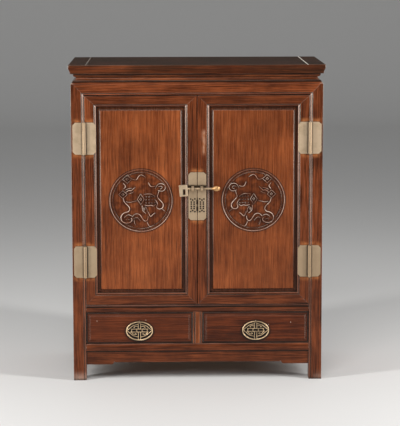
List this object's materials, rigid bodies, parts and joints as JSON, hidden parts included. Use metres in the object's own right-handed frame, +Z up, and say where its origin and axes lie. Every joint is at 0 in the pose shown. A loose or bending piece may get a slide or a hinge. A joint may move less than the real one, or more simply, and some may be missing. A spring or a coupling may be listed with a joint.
{
  "type": "two-door cabinet with drawers",
  "caption": "Hardwood cupboard with mitred frame-and-panel doors on surface hinges, drawers with openwork pulls, and a pin lock with padlock.",
  "frame": {"origin": "middle of the overall box, on the floor", "axes": "+X to the right as seen from the front, +Y to the back, +Z up"},
  "size_m": [0.8, 0.446, 1],
  "materials": {
    "frame_wood": "satin polish",
    "panel_wood": "satin polish",
    "inner_wood": "bare, planed",
    "pale_brass": "worn satin",
    "gilt_brass": "aged, brown gold"
  },
  "bodies": {
    "cabinet": {"back_left_post": "frame_wood", "back_panels": "inner_wood", "back_rails": "frame_wood", "back_right_post": "frame_wood", "cupboard_floor": "inner_wood", "drawer_divider": "frame_wood", "drawer_runners": "inner_wood", "front_apron": "frame_wood", "front_bottom_rail": "frame_wood", "front_left_post": "frame_wood", "front_middle_rail": "frame_wood", "front_right_post": "frame_wood", "front_top_rail": "frame_wood", "hinge_pins": "pale_brass", "left_side_panels": "panel_wood", "left_side_rails": "frame_wood", "post_hinge_leaves": "pale_brass", "right_side_panels": "panel_wood", "right_side_rails": "frame_wood", "shelf": "inner_wood", "shelf_bearers": "inner_wood", "side_aprons": "frame_wood", "top_back_rail": "frame_wood", "top_braces": "inner_wood", "top_front_rail": "frame_wood", "top_left_end": "frame_wood", "top_panel": "panel_wood", "top_right_end": "frame_wood", "waist_moulding": "frame_wood"},
    "left_door": {"left_door_batten": "inner_wood", "left_door_bottom_rail": "frame_wood", "left_door_hinge_leaves": "pale_brass", "left_door_hinge_stile": "frame_wood", "left_door_lock_stile": "frame_wood", "left_door_panel": "panel_wood", "left_door_top_rail": "frame_wood", "left_lock_plate": "pale_brass", "left_staple": "pale_brass"},
    "right_door": {"right_door_batten": "inner_wood", "right_door_bottom_rail": "frame_wood", "right_door_hinge_leaves": "pale_brass", "right_door_hinge_stile": "frame_wood", "right_door_lock_stile": "frame_wood", "right_door_panel": "panel_wood", "right_door_top_rail": "frame_wood", "right_lock_plate": "pale_brass", "right_staple": "pale_brass"},
    "left_drawer": {"left_drawer_bottom": "inner_wood", "left_drawer_box": "inner_wood", "left_drawer_front": "panel_wood", "left_pull_staple": "pale_brass"},
    "right_drawer": {"right_drawer_bottom": "inner_wood", "right_drawer_box": "inner_wood", "right_drawer_front": "panel_wood", "right_pull_staple": "pale_brass"},
    "left_pull": {"left_pull": "pale_brass"},
    "right_pull": {"right_pull": "pale_brass"},
    "lock_pin": {"lock_pin": "pale_brass", "lock_pin_bud": "gilt_brass"},
    "padlock": {"padlock": "pale_brass"}
  },
  "joints": [
    {"name": "left_door_hinge", "type": "hinge", "parent": "cabinet", "child": "left_door", "pos_m": [-0.35225, -0.2059, 0.576], "axis": [0, 0, -1], "range_deg": [0, 170]},
    {"name": "right_door_hinge", "type": "hinge", "parent": "cabinet", "child": "right_door", "pos_m": [0.35225, -0.2059, 0.576], "axis": [0, 0, 1], "range_deg": [0, 170]},
    {"name": "left_drawer_slide", "type": "slide", "parent": "cabinet", "child": "left_drawer", "axis": [0, -1, 0], "range_m": [0, 0.28]},
    {"name": "right_drawer_slide", "type": "slide", "parent": "cabinet", "child": "right_drawer", "axis": [0, -1, 0], "range_m": [0, 0.28]},
    {"name": "left_pull_swing", "type": "hinge", "parent": "left_drawer", "child": "left_pull", "pos_m": [-0.184, -0.202, 0.188], "axis": [-1, 0, 0], "range_deg": [0, 80]},
    {"name": "right_pull_swing", "type": "hinge", "parent": "right_drawer", "child": "right_pull", "pos_m": [0.184, -0.202, 0.188], "axis": [-1, 0, 0], "range_deg": [0, 80]},
    {"name": "lock_pin_slide", "type": "slide", "parent": "right_door", "child": "lock_pin", "axis": [1, 0, 0], "range_m": [-0.026, 0.0115]},
    {"name": "padlock_swing", "type": "hinge", "parent": "lock_pin", "child": "padlock", "pos_m": [-0.044, -0.214, 0.614], "axis": [-1, 0, 0], "range_deg": [0, 75]}
  ]
}
